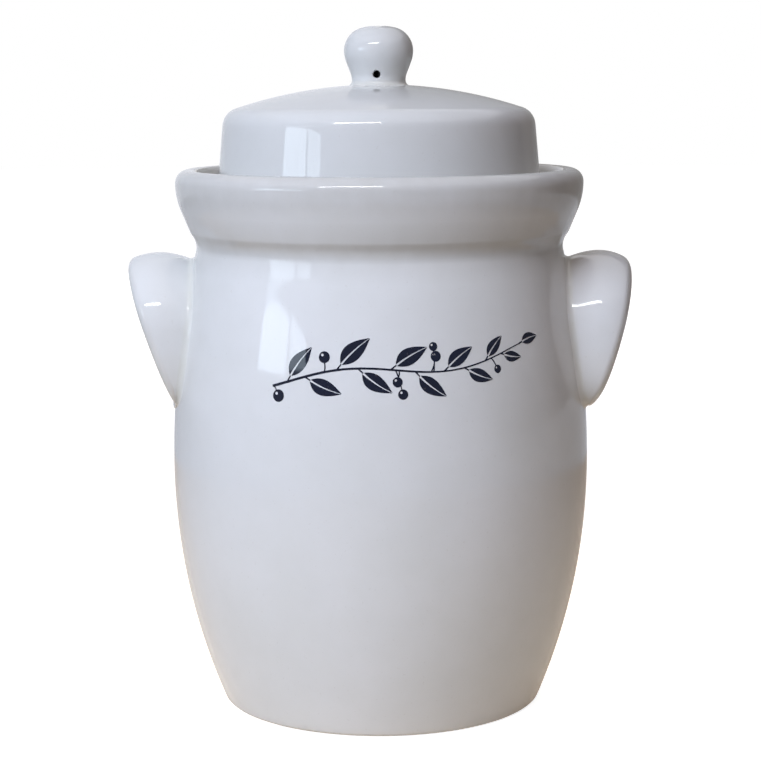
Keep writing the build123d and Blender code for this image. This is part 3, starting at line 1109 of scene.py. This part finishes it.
# The pieces
make_pot()
make_ring()
make_sprig()
make_lid()
make_knob()
right_shape = LugShape(98.6, 118.2, 1.9, (0.097, 0.037, 0.0, 0.03, 0.17))
left_shape = LugShape(93.6, 118.9, 0.2, (0.097, 0.037, 0.0, 0.02, 0.1))
make_lug("right_shell_lug", 1, "right_lug", right_shape)
make_lug("left_shell_lug", -1, "left_lug", left_shape)
make_weight("front_half_weight", -1, "weight_front")
make_weight("back_half_weight", 1, "weight_back")


# Floor, light and camera
DARK = (0.02, 0.02, 0.02, 1)
AMBIENT = (0.06, 0.06, 0.06, 1)
TABLE_EDGE = 0.67
FLOOR_COLOUR = (0.71, 0.62, 0.5, 1)
FLOOR_FAR = (0.2, 0.18, 0.17, 1)
# The floor as the glaze mirrors it: on the left and on the right of the table, where it is darker
# as a painted shadow of the pot, and past it
MIRRORED_LEFT = (0.44, 0.375, 0.32, 1)
MIRRORED_RIGHT_SHADOW = (0.26, 0.2, 0.15, 1)
MIRRORED_PAST = (0.4, 0.43, 0.48, 1)
# The floor as the camera sees it, round the pot and far behind it
SEEN_NEAR = (0.96, 0.98, 1, 1)
SEEN_FAR = (1.12, 1.12, 1.12, 1)
FLOOR_STRENGTH = 0.9
LAMP_AIM = (0, 0, 0.15)


def plain_material(name, colour):
    """A matt material for the floor and for what the glaze mirrors."""
    material = bpy.data.materials.new(name)
    material.use_nodes = True
    shader = material.node_tree.nodes["Principled BSDF"]
    shader.inputs["Base Color"].default_value = colour
    shader.inputs["Roughness"].default_value = 0.9
    shader.inputs["Specular IOR Level"].default_value = 0.0
    return material


def lamp(name, location, aim, width, height, power, colour, glossy=True, diffuse=True):
    """A rectangular soft light that faces a point."""
    light = bpy.data.lights.new(name, "AREA")
    light.shape = "RECTANGLE"
    light.size = width
    light.size_y = height
    light.energy = power
    light.color = colour
    piece = bpy.data.objects.new(name, light)
    piece.location = location
    piece.rotation_euler = (Vector(aim) - Vector(location)).to_track_quat("-Z", "Y").to_euler()
    piece.visible_glossy = glossy
    piece.visible_diffuse = diffuse
    piece.visible_camera = False
    bpy.context.scene.collection.objects.link(piece)
    return piece


def seen_rays(tree, path):
    """1 for what the camera sees, in a mirror or through glass too, and else 0."""
    seen = math_node(tree, "MAXIMUM", path.outputs["Is Camera Ray"], path.outputs["Is Glossy Ray"])
    return math_node(tree, "MAXIMUM", seen, path.outputs["Is Transmission Ray"])


def light_world():
    """A white world for the camera and for reflections, dimmer for the light it gives."""
    world = bpy.data.worlds.new("studio")
    bpy.context.scene.world = world
    world.use_nodes = True
    tree = world.node_tree
    seen = seen_rays(tree, tree.nodes.new("ShaderNodeLightPath"))
    shown = mixed(tree, seen, AMBIENT, (1, 1, 1, 1))
    tree.links.new(shown, tree.nodes["Background"].inputs["Color"])


def lay_floor():
    """A floor that is white to the camera but for the pot's shadow, and warm in the glaze."""
    floor = plain_material("floor_white", FLOOR_COLOUR)
    tree = floor.node_tree
    shader = tree.nodes["Principled BSDF"]
    path = tree.nodes.new("ShaderNodeLightPath")
    place = tree.nodes.new("ShaderNodeTexCoord")
    reach = tree.nodes.new("ShaderNodeVectorMath")
    reach.operation = "LENGTH"
    tree.links.new(place.outputs["Object"], reach.inputs[0])
    far = ranged(tree, reach.outputs["Value"], TABLE_EDGE - 0.03, TABLE_EDGE + 0.03)
    near = ranged(tree, reach.outputs["Value"], 0.2, TABLE_EDGE)
    tree.links.new(mixed(tree, near, FLOOR_COLOUR, FLOOR_FAR), shader.inputs["Base Color"])
    axes = tree.nodes.new("ShaderNodeSeparateXYZ")
    tree.links.new(place.outputs["Object"], axes.inputs[0])
    # Darker on the right of the table: the pot's painted shadow in the glaze's reflection of the
    # floor
    right = ranged(tree, axes.outputs["X"], 0.0, 0.25)
    table = mixed(tree, right, MIRRORED_LEFT, MIRRORED_RIGHT_SHADOW)
    mirrored = mixed(tree, far, table, MIRRORED_PAST)
    behind = ranged(tree, reach.outputs["Value"], 0.4, 1.2)
    shown = mixed(tree, behind, SEEN_NEAR, SEEN_FAR)
    mirrored = mixed(tree, path.outputs["Is Camera Ray"], mirrored, shown)
    tree.links.new(mirrored, shader.inputs["Emission Color"])
    seen = seen_rays(tree, path)
    strength = ranged(tree, seen, 0, 1, 0, FLOOR_STRENGTH)
    tree.links.new(strength, shader.inputs["Emission Strength"])
    bm = bmesh.new()
    bmesh.ops.create_grid(bm, x_segments=1, y_segments=1, size=6)
    ground = finish_mesh(bm, "floor", [floor])
    ground.location.z = -0.0002


def show_in_glaze_only(piece):
    """Keep a piece from the camera, and from lighting or shading anything."""
    piece.visible_camera = False
    piece.visible_diffuse = False
    piece.visible_shadow = False


# Each pane: its name, strength, and corners by bearing and height
WINDOW_DISTANCE = 5.0
WINDOW_PANES = (
    (
        "pane_left",
        5.2,
        ((-71.5, 0.48), (-53.2, 0.53), (-53.1, 1.23), (-62.1, 1.37), (-65.9, 1.32), (-70.7, 1.17)),
    ),
    ("pane_left_dim", 2.6, ((-70.7, 1.17), (-65.9, 1.32), (-62.1, 1.57), (-70.5, 1.56))),
    (
        "pane_left_top",
        4.4,
        ((-70.5, 1.56), (-62.1, 1.57), (-53.4, 1.73), (-53.4, 1.82), (-70.5, 1.63)),
    ),
    ("pane_right_top", 4.0, ((-51.9, 1.76), (-43.2, 1.83), (-43.2, 1.94), (-51.9, 1.84))),
    ("pane_right", 4.2, ((-51.7, 0.6), (-41.4, 0.67), (-42.4, 1.05), (-52.3, 1.3))),
)
WINDOW_COLOUR = (0.75, 0.88, 1.0, 1)


def window():
    """The panes of the window at the left, as the glaze mirrors them past a curtain."""
    for name, strength, outline in WINDOW_PANES:
        material = plain_material(name, DARK)
        shader = material.node_tree.nodes["Principled BSDF"]
        shader.inputs["Emission Color"].default_value = WINDOW_COLOUR
        shader.inputs["Emission Strength"].default_value = strength
        bm = bmesh.new()
        corners = []
        for bearing, height in outline:
            turn = Matrix.Rotation(radians(bearing), 3, "Z")
            corners.append(bm.verts.new(turn @ Vector((0, -WINDOW_DISTANCE, height))))
        bm.faces.new(corners)
        pane = finish_mesh(bm, name, [material])
        show_in_glaze_only(pane)


# The tones of the room by their bearing
WALL_TONES = (
    (-180, (0.8, 0.82, 0.88)),
    (-85, (0.66, 0.7, 0.78)),
    (-35, (0.33, 0.34, 0.37)),
    (40, (0.25, 0.26, 0.28)),
    (95, (0.2, 0.2, 0.22)),
    (105, (0.03, 0.03, 0.035)),
    (120, (0.03, 0.03, 0.035)),
    (132, (0.24, 0.23, 0.23)),
    (180, (0.34, 0.34, 0.34)),
)


def room_wall(name, distance, top, start, end):
    """A stretch of the dim room that the glaze mirrors and the camera can't see."""
    material = plain_material(name, DARK)
    tree = material.node_tree
    shader = tree.nodes["Principled BSDF"]
    bearing = tree.nodes.new("ShaderNodeAttribute")
    bearing.attribute_name = "bearing"
    ramp = tree.nodes.new("ShaderNodeValToRGB")
    ramp.color_ramp.interpolation = "EASE"
    stops = ramp.color_ramp.elements
    while len(stops) < len(WALL_TONES):
        stops.new(0.5)
    for stop, (at, tone) in zip(stops, WALL_TONES):
        stop.position = (at + 180) / 360
        stop.color = (*tone, 1)
    tree.links.new(bearing.outputs["Fac"], ramp.inputs["Fac"])
    tree.links.new(ramp.outputs["Color"], shader.inputs["Emission Color"])
    shader.inputs["Emission Strength"].default_value = 1.0
    bm = bmesh.new()
    ends = [bm.verts.new((0, -distance, z)) for z in (0, top)]
    strip = bm.edges.new(ends)
    bmesh.ops.rotate(bm, verts=ends, cent=(0, 0, 0), matrix=Matrix.Rotation(radians(start), 3, "Z"))
    bmesh.ops.spin(
        bm,
        geom=ends + [strip],
        cent=(0, 0, 0),
        axis=(0, 0, 1),
        angle=radians(end - start),
        steps=round((end - start) / 4),
        use_merge=False,
    )
    wall = finish_mesh(bm, name, [material])
    share = wall.data.attributes.new("bearing", "FLOAT", "POINT")
    share.data.foreach_set(
        "value", [(degrees(atan2(v.co.x, -v.co.y)) + 180) / 360 for v in wall.data.vertices]
    )
    show_in_glaze_only(wall)


light_world()
lay_floor()

# The camera, as found from the photograph's ellipses
camera_data = bpy.data.cameras.new("camera")
camera_data.lens = 98.83
camera_data.sensor_width = 36
camera_data.shift_x = 0.2 / 761
camera = bpy.data.objects.new("camera", camera_data)
camera.location = (0, -0.9719, 0.2897)
tilt = Matrix.Rotation(radians(81.8), 3, "X") @ Matrix.Rotation(radians(-0.3), 3, "Z")
camera.rotation_euler = tilt.to_euler()
bpy.context.scene.collection.objects.link(camera)
bpy.context.scene.camera = camera
bpy.context.scene.view_settings.view_transform = "Standard"

lamp("key", (-0.99, -1.48, 1.44), LAMP_AIM, 1.4, 1.2, 45, (0.83, 0.935, 1.14), glossy=False)
lamp("fill", (0.262, -1.234, 1.952), LAMP_AIM, 1.4, 1.2, 7.5, (1.25, 0.99, 0.9), glossy=False)
lamp("back", (0, 2.07, 0.65), LAMP_AIM, 1.6, 1.1, 30, (1.0, 1.0, 1.0), glossy=False)
lamp("strip", (-0.36, -1.05, 1.08), (-0.36, 0, 0.3), 0.82, 0.1, 6, (1, 1, 1), diffuse=False)
window()
room_wall("room_right", 1.7, 1.5, -38, 179)
room_wall("room_left", 1.7, 1.5, -179, -77)
room_wall("room_window", 5.3, 4.3, -80, -34)
